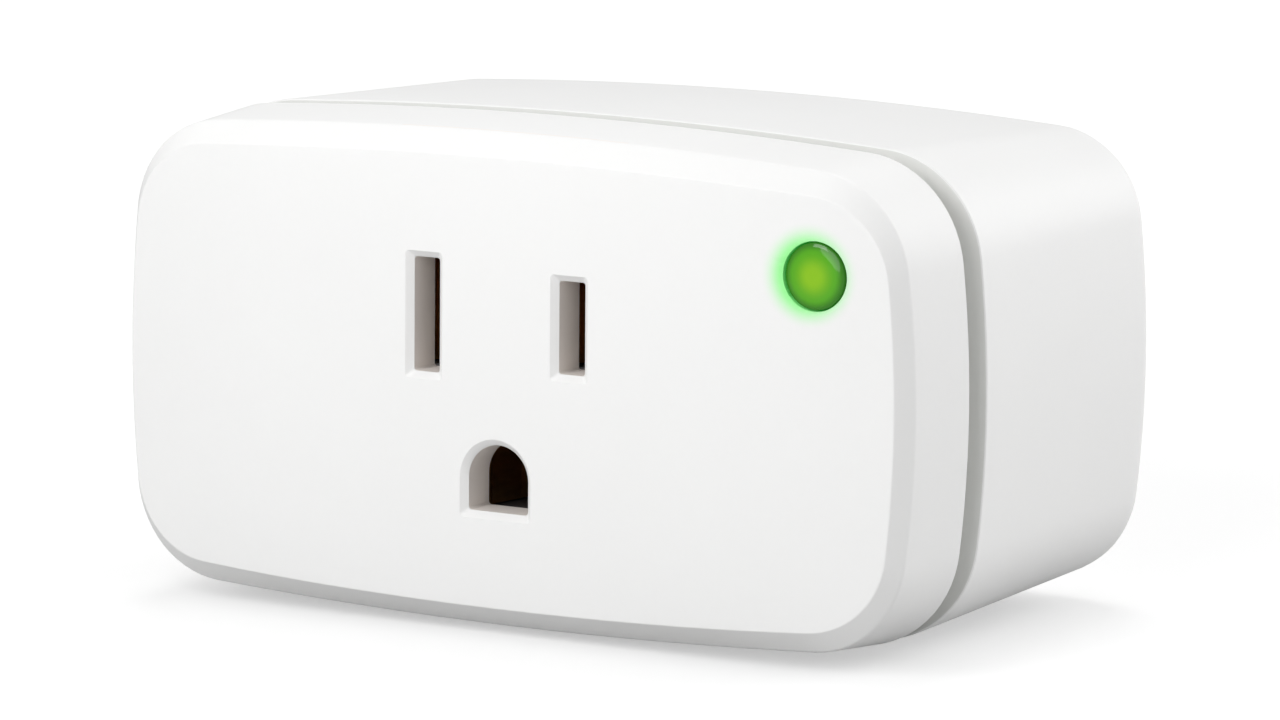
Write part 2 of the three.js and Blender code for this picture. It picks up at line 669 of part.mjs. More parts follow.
add('relay_coil', 'copper', turned(RELAY_X, MID_Z, [
  [tube + 0.6, coilY - 0.9],
  [tube + 0.6, coilY - COIL_H + 0.8],
  [COIL_R, coilY - COIL_H + 0.8],
  [COIL_R, coilY - 0.9],
  [tube + 0.6, coilY - 0.9],
]));
const armatureTop = armatureY - YOKE_T;
const armatureX = [RELAY_X - 3.5, hingeX + 0.4];
add('relay_armature', 'steel', box(...armatureX, armatureTop, armatureY, MID_Z - 4, MID_Z + 4));
add('relay_moving_contact', 'copper', build(
  box(contactX - 1.2, RELAY_X + 4, armatureTop - ARM_T, armatureTop, MID_Z - 2.2, MID_Z + 2.2),
  [rodY(contactX, MID_Z, CONTACT_R, armatureTop - 0.1, armatureY - 0.3, 20)],
));
const fixedY = armatureY - 0.3 + CONTACT_GAP;
add('relay_fixed_contact', 'copper', build(
  box(contactX - 1.5, contactX - 0.9, fixedY + 0.55, baseFront, MID_Z - 2.2, MID_Z + 2.2),
  [
    box(contactX - 1.5, contactX + 0.4, fixedY + 0.5, fixedY + 1.1, MID_Z - 2.2, MID_Z + 2.2),
    rodY(contactX, MID_Z, CONTACT_R, fixedY, fixedY + 0.6, 20),
  ],
));

// ---- other parts of the main board ----

// Can with a sunk top and a rolled groove near its foot.
function electrolytic(x, z, radius, height) {
  const top = BOARD_FRONT - height;
  return turned(x, z, [
    [0, top + 0.3],
    [radius - 0.9, top + 0.3],
    [radius - 0.6, top],
    [radius - 0.3, top],
    [radius, top + 0.4],
    [radius, BOARD_FRONT - 2.4],
    [radius - 0.35, BOARD_FRONT - 2],
    [radius, BOARD_FRONT - 1.6],
    [radius, BOARD_FRONT],
    [0, BOARD_FRONT],
  ], 24);
}
add('bulk_capacitor_1', 'sleeve', electrolytic(16.8, -8.6, 4, 14));
add('bulk_capacitor_2', 'sleeve', electrolytic(16.4, -16.3, 3.15, 12));
add('output_capacitor', 'sleeve', electrolytic(21.5, -17, 1.9, 8));

const CHOKE_X = 26.4;
const CHOKE_Z = -8.7;
add('choke_core', 'black', turned(CHOKE_X, CHOKE_Z, [
  [0, BOARD_FRONT - 8],
  [3.4, BOARD_FRONT - 8],
  [3.4, BOARD_FRONT - 7],
  [1.6, BOARD_FRONT - 7],
  [1.6, BOARD_FRONT - 1],
  [3.4, BOARD_FRONT - 1],
  [3.4, BOARD_FRONT],
  [0, BOARD_FRONT],
]));
add('choke_winding', 'copper', turned(CHOKE_X, CHOKE_Z, [
  [1.6, BOARD_FRONT - 7],
  [3.1, BOARD_FRONT - 7],
  [3.1, BOARD_FRONT - 1],
  [1.6, BOARD_FRONT - 1],
  [1.6, BOARD_FRONT - 7],
]));
add('x2_capacitor', 'yellow', block(-17.8, -16, 10.2, 6.4, BOARD_FRONT, 11.5));

const varistor = new THREE.CylinderGeometry(4.8, 4.8, 3.6, 32);
varistor.rotateX(Math.PI / 2).translate(-17.6, BOARD_FRONT - 5.6, 5.8);
const leads = [-20.1, -15.1].map((x) => rodY(x, 5.8, 0.4, BOARD_FRONT, BOARD_FRONT - 5, 10));
add('varistor', 'blue', build(varistor, leads));

const fuse = new THREE.CylinderGeometry(1.7, 1.7, 8, 20);
fuse.rotateZ(Math.PI / 2).translate(-7.4, BOARD_FRONT - 2.2, 8.4);
const fuseLegs = [-10.2, -4.6].map((x) => rodY(x, 8.4, 0.4, BOARD_FRONT, BOARD_FRONT - 2, 10));
add('fuse', 'white', build(fuse, fuseLegs));

add('metering_chip', 'black', block(0.6, 8.4, 5, 4, BOARD_FRONT, 1.5));
add('converter_chip', 'black', block(7.6, 8.4, 5, 4, BOARD_FRONT, 1.5));
add('rectifier', 'black', block(21.6, 2.6, 4.8, 4, BOARD_FRONT, 2.4));
add('shunt_resistor', 'steel', block(0, -19, 6.4, 2.4, BOARD_FRONT, 0.8));

export default group;
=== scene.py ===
"""Looks of a smart plug with a switched receptacle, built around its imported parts.

Sizes are in millimetres.
"""

import json
from math import atan2, cos, hypot, pi, radians, sin, sqrt

import bmesh
import bpy
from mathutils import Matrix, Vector


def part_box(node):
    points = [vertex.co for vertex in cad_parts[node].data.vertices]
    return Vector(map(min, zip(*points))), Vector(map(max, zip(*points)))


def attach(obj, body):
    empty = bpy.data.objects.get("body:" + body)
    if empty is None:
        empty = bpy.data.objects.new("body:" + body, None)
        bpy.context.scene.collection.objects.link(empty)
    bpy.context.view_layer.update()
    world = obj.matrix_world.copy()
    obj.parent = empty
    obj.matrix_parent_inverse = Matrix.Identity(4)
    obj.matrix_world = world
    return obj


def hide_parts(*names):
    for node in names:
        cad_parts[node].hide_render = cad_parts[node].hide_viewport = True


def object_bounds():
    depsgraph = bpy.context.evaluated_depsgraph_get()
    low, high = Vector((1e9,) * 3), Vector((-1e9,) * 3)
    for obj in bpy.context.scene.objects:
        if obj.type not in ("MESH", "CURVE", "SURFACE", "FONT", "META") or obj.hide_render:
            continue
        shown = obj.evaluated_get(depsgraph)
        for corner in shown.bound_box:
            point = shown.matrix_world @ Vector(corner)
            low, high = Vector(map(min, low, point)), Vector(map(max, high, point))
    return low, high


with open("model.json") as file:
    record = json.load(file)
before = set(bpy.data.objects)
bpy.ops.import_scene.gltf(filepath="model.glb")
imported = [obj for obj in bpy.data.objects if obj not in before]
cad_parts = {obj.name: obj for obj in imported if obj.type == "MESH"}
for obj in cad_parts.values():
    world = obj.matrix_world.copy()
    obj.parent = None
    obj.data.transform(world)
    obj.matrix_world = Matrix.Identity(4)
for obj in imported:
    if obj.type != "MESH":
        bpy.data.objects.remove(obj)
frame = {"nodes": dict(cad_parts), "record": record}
cad_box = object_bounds()

MM = 0.001

# Case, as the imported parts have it. X is across the face, Y from front to back, Z up. The wall is
# at Y 0, and the blades stand on either side of X 0, Z 0.
DEPTH = 40.5
FRONT = -DEPTH
HALF_W = 34.34
HALF_H = 18.55
MID_Z = -4.66
# Radii of the outline's long sides, short sides and corners
CROWN_LONG = 402
CROWN_SHORT = 91
CORNER_R = 8
RIM_CORNER_R = 8.66
BACK_CORNER_R = 7.6
WALL = 2.2
BACK_WALL = 2.5
FACE_BACK = FRONT + 3.3
# Half width, half height and corner radius of the face's rings, from the middle out
FACE_RINGS = ((14.4, 11.2, 4), (19.5, 13.2, 5), (24.5, 14.8, 6), (29.3, 16.0, 6.5))
FACE_RING_STEP = 0.1
FACE_CORNER_R = 6.7
# The face is flat this far from its middle, and rolls back by this much at its edges.
FLAT_X = 14
FLAT_Z = 10.8
ROLL_X = 1.0
ROLL_Z = 0.13
# Bevel round the face: width at the sides, width above and below, depth, and how much further
# forward its foot lies at the corners
BEVEL_X = 0.97
BEVEL_Z = 1.68
BEVEL_Y = 2.35
BEVEL_CORNER = 0.6
FACE_ROUND = 0.1
BEVEL_ROUND = 0.2
# The cover flares out to its rim, and its spigot bridges the groove into the housing.
RIM_OUT = 0.58
RIM_ROUND = 0.22
RIM_Y = FRONT + 9.4
HOUSING_Y = FRONT + 11.9
SPIGOT_IN = 1.77
SPIGOT_INNER = 2.97
SPIGOT_END = HOUSING_Y + 2
# The housing's back lies this far inside the outline, and its edge is an elliptic round.
BACK_IN_X = 0.6
BACK_IN_Z = 0.39
BACK_ROUND_Y = 2.3
BACK_ROUND_IN = 1.8
BACK_ANGLES = (0, 18, 36, 54, 72, 90)
CASE_EDGE = 0.06
LABEL_GAP = 0.2
LABEL_SEAT_Y = -0.35
LABEL_CORNER = 0.8
LABEL_EDGE = 0.04

# Receptacle, blades and button
BLADE_X = 6.35
GROUND_Z = -11.89
SLOT_W = 2.25
LINE_SLOT_H = 6.95
NEUTRAL_SLOT_H = 8.6
GROUND_R = 2.6
GROUND_FLAT = 2.45
SLOT_LEAD = 0.5
SLOT_CORNER = 0.22
GROUND_CORNER = 0.25
RECEPTACLE_X = 9  # the slots lie within this of the middle
RECEPTACLE_Z = 15
BLADE_WAY_W = 1.82
NEUTRAL_WAY_H = 8.2
LINE_WAY_H = 6.65
PIN_WAY_R = 2.55
BLADE_FOOT = -7  # a blade or pin is full size from here to its tip
BLADE_TAPER = 1.2
BLADE_TIP = 0.55  # thickness left at the tip
BLADE_TAB_H = 2.4
BLADE_HOLE_Y = 11.9
BLADE_HOLE_R = 1.6
BLADE_EDGE = 0.12
PIN_TAIL_R = 1.2
PIN_STEPS = 7
PIN_BLUNT = 0.12  # angle left open at the very tip
PIN_EDGE = 0.08
BUTTON = (26.95, 5.54)
BUTTON_R = 2.45
BUTTON_GAP = 0.12
BUTTON_SINK = 0.05  # foot of the dome, behind the face
BUTTON_EDGE = 0.05
FLANGE_GAP = 0.3  # from the back of the face to the flange
BUTTON_FLANGE_T = 1.0
BUTTON_FLANGE_IN = 2.1
BUTTON_STEM = 1.7
# Inset and rise of each ring of the dome, from its edge in
DOME_RINGS = ((0.3, 0.12), (0.45, 0.08), (0.6, 0.06), (0.55, 0.025))

# Screws, and the posts and bosses that they draw together
SCREWS = ((-26.9, -15.56), (26.9, -15.56), (-26.9, 6.24), (15.6, 7.64))
SCREW_R = 2.4
SCREW_SINK = 7
SHANK_R = 1.1
SHANK_POINT = 1.2
POINT_SHARE = 0.45
HEAD_SHARE = 2  # width of the head to that of the shank
# Rise of each step of the head, and how much of its width is left after it
HEAD_STEPS = ((1.0, 1), (0.35, 0.88), (0.249, 0.7))
RECESS_L = 2.4
RECESS_W = 0.5
RECESS_DEPTH = 1.8
RECESS_TAPER = 0.6
SCREW_EDGE = 0.04
POST_R = 2.8
POST_BORE_R = 1.15
POST_BORE_DEPTH = 7
POST_END = -12
BOSS_R = 3.2
BOSS_END = -11.9
SCREW_WAY_R = 1.4
SCREW_WAY_END = -13

# Green light round the button: how far it lies to the left, and where it starts and ends
HALO_ASIDE = 0.45
HALO_INNER = 2.2
HALO_REACH = 4.2

WORLD_LIGHT = 0.53
FLOOR_SIZE = 6  # metres
FLOOR_LIFT = 0.47  # how much brighter the floor is to the camera than its light makes it

HAIR = 0.05  # depth of a step that would be square
STEP = 0.001  # first part of an extrusion, so that its ring can grow or shrink in place
PAST = 1  # how far a cutter reaches past what it cuts
ROOT = 0.5  # how far a post or boss reaches into its wall
SLACK = 0.02  # for telling faces apart by their place
ALONG = 0.9  # a unit normal counts as lying along an axis past this
# Arc steps of one quarter of an outline: short side, corner, long side
STEPS = (6, 14, 8)


# ---------------------------------------------------------------- modelling

def fresh():
    """Nothing selected, no object in edit mode."""
    if bpy.context.object and bpy.context.object.mode != "OBJECT":
        bpy.ops.object.mode_set(mode="OBJECT")
    bpy.ops.object.select_all(action="DESELECT")


def active(piece):
    fresh()
    piece.select_set(True)
    bpy.context.view_layer.objects.active = piece


def edit(piece):
    active(piece)
    bpy.ops.object.mode_set(mode="EDIT")


def edit_mesh():
    return bmesh.from_edit_mesh(bpy.context.object.data)


def pick_faces(test):
    """Selects the faces whose centre and normal pass the test, centre in millimetres."""
    bpy.ops.mesh.select_mode(type="FACE")
    bpy.ops.mesh.select_all(action="DESELECT")
    mesh = edit_mesh()
    for face in mesh.faces:
        face.select = bool(test(face.calc_center_median() / MM, face.normal))
    bmesh.update_edit_mesh(bpy.context.object.data)


def pick_edges(test):
    """Selects the edges whose two ends pass the test, ends in millimetres."""
    bpy.ops.mesh.select_mode(type="EDGE")
    bpy.ops.mesh.select_all(action="DESELECT")
    mesh = edit_mesh()
    for edge in mesh.edges:
        edge.select = bool(test(edge.verts[0].co / MM, edge.verts[1].co / MM))
    bmesh.update_edit_mesh(bpy.context.object.data)


def pick_front():
    pick_faces(lambda c, n: n.y < -ALONG)


def pick_back():
    pick_faces(lambda c, n: n.y > ALONG)


def is_along_y(a, b):
    return abs(a.x - b.x) < 0.01 and abs(a.z - b.z) < 0.01


def extrude(y, z=0):
    """Extrudes the picked faces by y and z millimetres."""
    bpy.ops.mesh.extrude_region_move(TRANSFORM_OT_translate={"value": (0, y * MM, z * MM)})


def resize(x, y, z, centre):
    """Scales what is picked about the centre, in millimetres."""
    bpy.ops.transform.resize(value=(x, y, z), center_override=[c * MM for c in centre])


def bevel_edges(width, segments):
    bpy.ops.mesh.bevel(offset=width * MM, segments=segments, affect="EDGES")


def done_editing():
    bpy.ops.object.mode_set(mode="OBJECT")


def settle(piece):
    """Applies the object's place so that it lies in the mesh."""
    active(piece)
    bpy.ops.object.transform_apply(location=True, rotation=True, scale=True)
    return piece


def apply_modifier(piece, kind, **values):
    active(piece)
    modifier = piece.modifiers.new(kind.lower(), kind)
    for key, value in values.items():
        setattr(modifier, key, value)
    bpy.ops.object.modifier_apply(modifier=modifier.name)


def carve(piece, cutter, operation="DIFFERENCE"):
    """Cuts the piece with the cutter, or joins them, and drops the cutter."""
    apply_modifier(piece, "BOOLEAN", object=cutter, operation=operation, solver="EXACT")
    bpy.data.objects.remove(cutter)


def soften(piece, width, angle=25, segments=2):
    """Small round on every edge sharper than the angle, with shading that keeps flats flat."""
    apply_modifier(piece, "BEVEL", width=width * MM, segments=segments,
                   limit_method="ANGLE", angle_limit=radians(angle),
                   miter_outer="MITER_ARC", use_clamp_overlap=True)
    active(piece)
    bpy.ops.object.shade_smooth_by_angle(angle=radians(30))
    apply_modifier(piece, "WEIGHTED_NORMAL", keep_sharp=True, weight=60)


def new_box(name, centre, size):
    fresh()
    bpy.ops.mesh.primitive_cube_add(size=1, location=[c * MM for c in centre])
    piece = bpy.context.object
    piece.name = name
    piece.scale = [s * MM for s in size]
    return settle(piece)


def new_rod(name, x, z, radius, y0, y1, sides=48):
    """Round bar along Y."""
    fresh()
    bpy.ops.mesh.primitive_cylinder_add(
        vertices=sides, radius=radius * MM, depth=abs(y1 - y0) * MM,
        location=(x * MM, (y0 + y1) / 2 * MM, z * MM), rotation=(pi / 2, 0, 0))
    piece = bpy.context.object
    piece.name = name
    return settle(piece)


def outline_arcs(half_w, half_h, corner):
    """Centre and turn of the three arcs in one quarter of the case's outline."""
    long_z = half_h - CROWN_LONG
    short_x = half_w - CROWN_SHORT
    d_long = CROWN_LONG - corner
    d_short = CROWN_SHORT - corner
    span = hypot(short_x, long_z)
    along = (d_short ** 2 - d_long ** 2 + span ** 2) / (2 * span)
    off = sqrt(d_short ** 2 - along ** 2)
    dir_x, dir_z = -short_x / span, long_z / span
    foot = (short_x + dir_x * along, dir_z * along)
    sides = [(foot[0] + s * dir_z * off, foot[1] - s * dir_x * off) for s in (1, -1)]
    centre = max(sides, key=sum)
    turn_short = atan2(centre[1], centre[0] - short_x)
    turn_long = atan2(centre[1] - long_z, centre[0])
    return (
        ((short_x, 0), turn_short),
        (centre, turn_long - turn_short),
        ((0, long_z), pi / 2 - turn_long),
    )


def draw_ring(number, y, half_w, half_h, corner):
    """Spins a point round the case's outline and marks the ring with its number."""
    arcs = outline_arcs(half_w, half_h, corner)
    bpy.ops.mesh.select_mode(type="VERT")
    bpy.ops.mesh.select_all(action="DESELECT")
    bpy.ops.mesh.primitive_plane_add(size=MM, location=(half_w * MM, y * MM, MID_Z * MM))
    bpy.ops.mesh.merge(type="CENTER")
    mesh = edit_mesh()
    marks = mesh.verts.layers.int["ring"]
    for vert in mesh.verts:
        if vert.select:
            vert[marks] = number
    for quarter, (side_x, side_z) in enumerate(((1, 1), (-1, 1), (-1, -1), (1, -1))):
        order = zip(arcs, STEPS) if quarter % 2 == 0 else zip(arcs[::-1], STEPS[::-1])
        for ((x, z), turn), steps in order:
            centre = (side_x * x * MM, y * MM, (MID_Z + side_z * z) * MM)
            bpy.ops.mesh.spin(steps=steps, angle=turn, center=centre, axis=(0, 1, 0))
    pick_rings(number)
    bpy.ops.mesh.remove_doubles(threshold=1e-6)


def pick_rings(*numbers):
    """Selects the points marked with these numbers."""
    bpy.ops.mesh.select_mode(type="VERT")
    bpy.ops.mesh.select_all(action="DESELECT")
    mesh = edit_mesh()
    marks = mesh.verts.layers.int["ring"]
    for vert in mesh.verts:
        vert.select = vert[marks] in numbers
    mesh.select_flush_mode()
    bmesh.update_edit_mesh(bpy.context.object.data)


def new_shell(name, rings):
    """Closed shell through the rings, each (y, inset in x, inset in z, corner radius)."""
    fresh()
    bpy.ops.mesh.primitive_plane_add(size=MM)
    shell = bpy.context.object
    shell.name = name
    edit(shell)
    bpy.ops.mesh.delete(type="VERT")
    edit_mesh().verts.layers.int.new("ring")
    for number, (y, in_x, in_z, corner) in enumerate(rings, 1):
        draw_ring(number, y, HALF_W - in_x, HALF_H - in_z, corner)
    for number in range(1, len(rings)):
        pick_rings(number, number + 1)
        bpy.ops.mesh.bridge_edge_loops()
    for number in (1, len(rings)):
        pick_rings(number)
        bpy.ops.mesh.edge_face_add()
    bpy.ops.mesh.select_all(action="SELECT")
    bpy.ops.mesh.normals_make_consistent(inside=False)
    if edit_mesh().calc_volume(signed=True) < 0:
        bpy.ops.mesh.flip_normals()
    return shell


def face_roll(x, z):
    """How far the front face falls back from its flat middle."""
    out_x = max(0, (abs(x) - FLAT_X) / (HALF_W - FLAT_X))
    out_z = max(0, (abs(z - MID_Z) - FLAT_Z) / (HALF_H - FLAT_Z))
    return ROLL_X * out_x ** 2 + ROLL_Z * out_z ** 2


def cornerness(x, z):
    """0 along the middle lines of the face, 1 at its corners."""
    return min(1, abs(x) / HALF_W * abs(z - MID_Z) / HALF_H) ** 2


def shift_rings(numbers, depth):
    """Puts the rings' points at depth(x, z) behind the front."""
    mesh = edit_mesh()
    marks = mesh.verts.layers.int["ring"]
    for vert in mesh.verts:
        if vert[marks] in numbers:
            vert.co.y = (FRONT + depth(vert.co.x / MM, vert.co.z / MM)) * MM
    bmesh.update_edit_mesh(bpy.context.object.data)


def round_ring(number, width):
    pick_rings(number)
    bevel_edges(width, segments=3)


# ---------------------------------------------------------------- pieces of the case

def slot_cutter(x, height):
    """Bar through the face whose front end flares into the lead-in."""
    start = FRONT + SLOT_LEAD
    end = FACE_BACK + PAST
    cutter = new_box("slot_cutter", (x, (start + end) / 2, 0), (SLOT_W, end - start, height))
    edit(cutter)
    pick_edges(is_along_y)
    bevel_edges(SLOT_CORNER, segments=3)
    flare_front(SLOT_W, height, (x, start, 0))
    return cutter


def flare_front(width, height, centre):
    """Draws the cutter's front end out through the face, 45 degrees wider on all sides."""
    pick_front()
    reach = SLOT_LEAD + PAST / 2
    extrude(-reach)
    resize((width + 2 * reach) / width, 1, (height + 2 * reach) / height, centre)
    done_editing()


def ground_cutter():
    """Round on top, flat below, with the same lead-in."""
    start = FRONT + SLOT_LEAD
    cutter = new_rod("ground_cutter", 0, GROUND_Z, GROUND_R, start, FACE_BACK + PAST, sides=64)
    edit(cutter)
    bpy.ops.mesh.select_all(action="SELECT")
    bpy.ops.mesh.bisect(plane_co=(0, 0, GROUND_Z * MM), plane_no=(0, 0, 1),
                        clear_inner=True, use_fill=True)
    pick_faces(lambda c, n: n.z < -ALONG)
    extrude(0, -GROUND_FLAT)
    pick_edges(lambda a, b: min(a.z, b.z) < GROUND_Z - GROUND_FLAT + 0.1 and is_along_y(a, b))
    bevel_edges(GROUND_CORNER, segments=3)
    middle = GROUND_Z + (GROUND_R - GROUND_FLAT) / 2
    flare_front(2 * GROUND_R, GROUND_R + GROUND_FLAT, (0, start, middle))
    return cutter


def make_front_cover():
    """Rolled face with its bevel, flared skirt and spigot; slots, button hole and screw posts."""
    # Two rings at one depth would bridge crossed over, so each stands a little behind the last.
    rings = [(FRONT + FACE_RING_STEP * number, HALF_W - half_w, HALF_H - half_h, corner)
             for number, (half_w, half_h, corner) in enumerate(FACE_RINGS)]
    face_ring = len(rings) + 1
    bevel_ring = face_ring + 1
    rim_ring = bevel_ring + 1
    rings += [
        (FRONT + FACE_RING_STEP * len(rings), BEVEL_X, BEVEL_Z, FACE_CORNER_R),
        (FRONT + BEVEL_Y, 0, 0, CORNER_R),
        (RIM_Y, -RIM_OUT, -RIM_OUT, RIM_CORNER_R),
        (RIM_Y + HAIR, SPIGOT_IN, SPIGOT_IN, CORNER_R - SPIGOT_IN),
        (SPIGOT_END, SPIGOT_IN, SPIGOT_IN, CORNER_R - SPIGOT_IN),
        (SPIGOT_END - HAIR, SPIGOT_INNER, SPIGOT_INNER, CORNER_R - SPIGOT_INNER),
        (FACE_BACK, SPIGOT_INNER, SPIGOT_INNER, CORNER_R - SPIGOT_INNER),
    ]
    cover = new_shell("face_shell", rings)
    shift_rings(range(1, bevel_ring), face_roll)
    shift_rings([bevel_ring], lambda x, z: BEVEL_Y - BEVEL_CORNER * cornerness(x, z))
    round_ring(rim_ring, RIM_ROUND)
    round_ring(bevel_ring, BEVEL_ROUND)
    round_ring(face_ring, FACE_ROUND)
    done_editing()
    for x, z in SCREWS:
        carve(cover, new_rod("post", x, z, POST_R, FACE_BACK - ROOT, POST_END), "UNION")
        bore = new_rod("post_bore", x, z, POST_BORE_R, POST_END - POST_BORE_DEPTH, POST_END + PAST)
        carve(cover, bore)
    carve(cover, slot_cutter(-BLADE_X, NEUTRAL_SLOT_H))
    carve(cover, slot_cutter(BLADE_X, LINE_SLOT_H))
    carve(cover, ground_cutter())
    hole_r = BUTTON_R + BUTTON_GAP
    carve(cover, new_rod("button_hole", *BUTTON, hole_r, FRONT - PAST, FACE_BACK + PAST, sides=96))
    soften(cover, CASE_EDGE, angle=32)
    give_finishes(cover, "case_plastic", "groove", "slot_walls")
    for face in cover.data.polygons:
        x, y, z = face.center / MM
        inside_rim = abs(x) < HALF_W and abs(z - MID_Z) < HALF_H
        in_slot = (abs(x) < RECEPTACLE_X and abs(z) < RECEPTACLE_Z
                   and FRONT + SLOT_LEAD + SLACK < y < FACE_BACK - SLACK)
        # Painted shade: the cover's sides behind the rim, the spigot in the groove, take a darker
        # grey than the case, for the shade between cover and housing.
        if y > RIM_Y - SLACK and abs(face.normal.y) < 0.5 and inside_rim:
            face.material_index = 1
        # Painted shade: the walls inside the slots take a warmer, slightly darker white than the
        # case.
        elif in_slot and abs(face.normal.y) < 0.3:
            face.material_index = 2
    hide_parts("front_cover")
    return finish_piece(cover, "case", "case_plastic")


def make_rear_housing():
    """Shell with a rounded back, screw bosses, and ways for the blades, pin and label."""
    rings = []
    for angle in BACK_ANGLES:
        inward = BACK_ROUND_IN * (1 - sin(radians(angle)))
        y = -BACK_ROUND_Y * (1 - cos(radians(angle)))
        rings.append((y, BACK_IN_X + inward, BACK_IN_Z + inward, BACK_CORNER_R - inward))
    front_ring = len(rings) + 1
    rings += [
        (HOUSING_Y, -RIM_OUT, -RIM_OUT, RIM_CORNER_R),
        (HOUSING_Y + HAIR, WALL - RIM_OUT, WALL - RIM_OUT, CORNER_R - WALL),
        (-BACK_WALL - 2, WALL + BACK_IN_X, WALL + BACK_IN_Z, CORNER_R - WALL),
        (-BACK_WALL, WALL + BACK_IN_X + 1, WALL + BACK_IN_Z + 1, CORNER_R - WALL - 1),
    ]
    housing = new_shell("back_shell", rings)
    round_ring(front_ring, RIM_ROUND)
    done_editing()
    for x, z in SCREWS:
        carve(housing, new_rod("boss", x, z, BOSS_R, -BACK_WALL + ROOT, BOSS_END), "UNION")
        carve(housing, new_rod("head_seat", x, z, SCREW_R, -SCREW_SINK, PAST))
        way = new_rod("screw_way", x, z, SCREW_WAY_R, SCREW_WAY_END, -SCREW_SINK + PAST)
        carve(housing, way)
    carve(housing, new_rod("pin_way", 0, GROUND_Z, PIN_WAY_R, -BACK_WALL - PAST, PAST))
    way_depth = 2 * (BACK_WALL + 2 * PAST)
    for name, x, height in (("neutral_way", -BLADE_X, NEUTRAL_WAY_H),
                            ("line_way", BLADE_X, LINE_WAY_H)):
        carve(housing, new_box(name, (x, 0, 0), (BLADE_WAY_W, way_depth, height)))
    label_low, label_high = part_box("rating_label")
    size = (label_high - label_low) / MM
    centre = (label_high + label_low) / 2 / MM
    seat = (size.x + 2 * LABEL_GAP, 2 * PAST, size.z + 2 * LABEL_GAP)
    carve(housing, new_box("label_seat", (centre.x, LABEL_SEAT_Y + PAST, centre.z), seat))
    soften(housing, CASE_EDGE, angle=32)
    give_finishes(housing, "case_plastic", "groove")
    # Painted shade: the housing's forward-facing ledge inside the groove takes the same darker
    # grey, for the shade there.
    for face in housing.data.polygons:
        if face.normal.y < -ALONG and abs(face.center.y / MM - HOUSING_Y) < 0.1:
            face.material_index = 1
    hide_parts("rear_housing")
    return finish_piece(housing, "case", "case_plastic")


def make_rating_label():
    """Blank film with rounded corners, sunk in the back."""
    low, high = (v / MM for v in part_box("rating_label"))
    centre = (low + high) / 2
    label = new_box("blank_label", centre, high - low)
    edit(label)
    pick_edges(is_along_y)
    bevel_edges(LABEL_CORNER, segments=6)
    done_editing()
    soften(label, LABEL_EDGE)
    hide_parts("rating_label")
    return finish_piece(label, "case", "label_film")


# ---------------------------------------------------------------- button

def make_button_cap():
    """Light-guide cap: domed window, collar behind the face, stem to the switch."""
    low, high = (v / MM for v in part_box("button_cap"))
    x, z = BUTTON
    rim = FRONT + face_roll(x, z) + BUTTON_SINK
    cap = new_rod("light_cap", x, z, BUTTON_R, rim, FACE_BACK + FLANGE_GAP, sides=72)
    edit(cap)
    pick_front()
    for inset, rise in DOME_RINGS:
        bpy.ops.mesh.inset(thickness=inset * MM)
        bpy.ops.transform.translate(value=(0, -rise * MM, 0))
    pick_back()
    grow = (high.x - low.x) / 2 / BUTTON_R
    extrude(STEP)
    resize(grow, 1, grow, (x, 0, z))
    extrude(BUTTON_FLANGE_T - STEP)
    bpy.ops.mesh.inset(thickness=BUTTON_FLANGE_IN * MM)
    extrude(BUTTON_STEM)
    done_editing()
    soften(cap, BUTTON_EDGE, angle=40)
    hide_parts("button_cap")
    return finish_piece(cap, "button", "button_plastic")


# ---------------------------------------------------------------- blades, pin, screws

def make_blade(node, name):
    """Stamped blade with rounded edges, a tapered tip, the round hole and a narrow tab."""
    low, high = (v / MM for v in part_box(node))
    centre = (low + high) / 2
    height = high.z - low.z
    blade = new_box(name, (centre.x, (high.y + BLADE_FOOT) / 2, centre.z),
                    (high.x - low.x, high.y - BLADE_FOOT, height))
    edit(blade)
    pick_edges(lambda a, b: min(a.y, b.y) > high.y - 0.1 and abs(a.x - b.x) > 1)
    bevel_edges(BLADE_TAPER, segments=1)
    pick_back()
    resize(BLADE_TIP, 1, 1, (centre.x, 0, 0))
    pick_front()
    extrude(-STEP)
    resize(1, 1, BLADE_TAB_H / height, (0, 0, centre.z))
    extrude(low.y - BLADE_FOOT)
    done_editing()
    fresh()
    bpy.ops.mesh.primitive_cylinder_add(
        vertices=48, radius=BLADE_HOLE_R * MM, depth=4 * MM, rotation=(0, pi / 2, 0),
        location=(centre.x * MM, BLADE_HOLE_Y * MM, centre.z * MM))
    carve(blade, settle(bpy.context.object))
    soften(blade, BLADE_EDGE, angle=40, segments=3)
    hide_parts(node)
    return finish_piece(blade, "case", "nickel_plate")


def make_ground_pin():
    """Round pin with a domed tip and a thinner tail."""
    low, high = (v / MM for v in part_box("ground_pin"))
    radius = (high.x - low.x) / 2
    pin = new_rod("round_pin", 0, GROUND_Z, radius, BLADE_FOOT, high.y - radius, sides=64)
    edit(pin)
    pick_back()
    for i in range(1, PIN_STEPS + 1):
        before = pi / 2 * (i - 1) / PIN_STEPS
        after = min(pi / 2 * i / PIN_STEPS, pi / 2 - PIN_BLUNT)
        extrude(radius * (sin(after) - sin(before)))
        shrink = cos(after) / cos(before)
        resize(shrink, 1, shrink, (0, 0, GROUND_Z))
    pick_front()
    bpy.ops.mesh.inset(thickness=(radius - PIN_TAIL_R) * MM)
    extrude(low.y - BLADE_FOOT)
    done_editing()
    soften(pin, PIN_EDGE, angle=40)
    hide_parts("ground_pin")
    return finish_piece(pin, "case", "nickel_plate")


